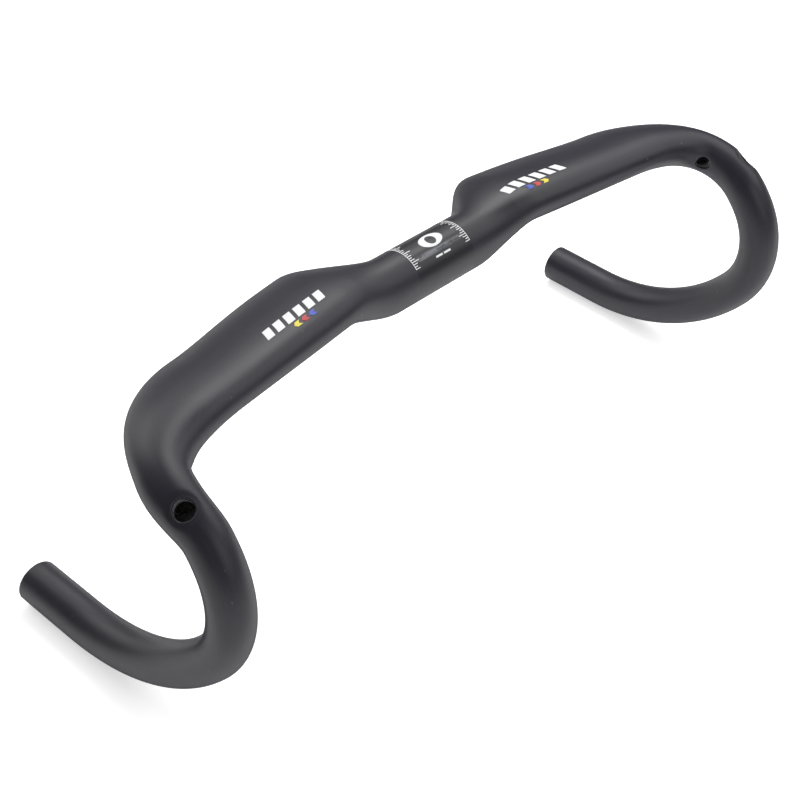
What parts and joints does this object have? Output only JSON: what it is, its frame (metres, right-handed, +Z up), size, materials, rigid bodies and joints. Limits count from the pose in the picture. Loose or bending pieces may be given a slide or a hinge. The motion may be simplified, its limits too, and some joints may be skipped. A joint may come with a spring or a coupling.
{
  "type": "drop handlebar",
  "caption": "Carbon drop handlebar with flat aero tops, a round scaled stem clamp zone, internal cable ports and short hooks with open grip ends",
  "frame": {"origin": "centre of the round stem clamp zone, on its axis", "axes": "+X to the rider's right along the clamp axis, +Y forward, +Z up; the grip ends are level and point to -Y"},
  "size_m": [0.47, 0.1603, 0.1655],
  "materials": {
    "matte_carbon": "matte clear-coated carbon fibre, fine satin sheen",
    "port_edge": "satin moulded carbon edge",
    "grommet_rubber": "matte rubber",
    "bonded_composite": "raw glass and carbon composite, sanded for bonding",
    "gloss_film": "glossy clear-coated film with light scuffs",
    "white_print": "thin white transfer",
    "yellow_print": "thin yellow transfer",
    "red_print": "thin red transfer",
    "blue_print": "thin blue transfer"
  },
  "bodies": {
    "root": {"clamp_tube": "matte_carbon", "clamp_sleeve": "bonded_composite", "clamp_film": "gloss_film", "centre_badge": "white_print", "badge_ring": "gloss_film", "index_bars": "white_print", "angle_scale_right": "white_print", "angle_scale_left": "white_print", "wing_right": "matte_carbon", "wing_left": "matte_carbon", "wing_spigot_right": "bonded_composite", "wing_spigot_left": "bonded_composite", "bend_right": "matte_carbon", "bend_left": "matte_carbon", "bend_spigot_right": "bonded_composite", "bend_spigot_left": "bonded_composite", "hook_top_right": "matte_carbon", "hook_top_left": "matte_carbon", "hook_spigot_right": "bonded_composite", "hook_spigot_left": "bonded_composite", "hook_front_right": "matte_carbon", "hook_front_left": "matte_carbon", "lower_spigot_right": "bonded_composite", "lower_spigot_left": "bonded_composite", "hook_lower_right": "matte_carbon", "hook_lower_left": "matte_carbon", "grip_spigot_right": "bonded_composite", "grip_spigot_left": "bonded_composite", "grip_end_right": "matte_carbon", "grip_end_left": "matte_carbon", "outer_port_ring_right": "port_edge", "outer_port_ring_left": "port_edge", "inner_port_ring_right": "port_edge", "inner_port_ring_left": "port_edge", "exit_grommet_right": "grommet_rubber", "exit_grommet_left": "grommet_rubber", "wing_stripes_right": "white_print", "wing_stripes_left": "white_print", "yellow_chevron_right": "yellow_print", "yellow_chevron_left": "yellow_print", "red_chevron_right": "red_print", "red_chevron_left": "red_print", "blue_chevron_right": "blue_print", "blue_chevron_left": "blue_print"}
  },
  "joints": []
}
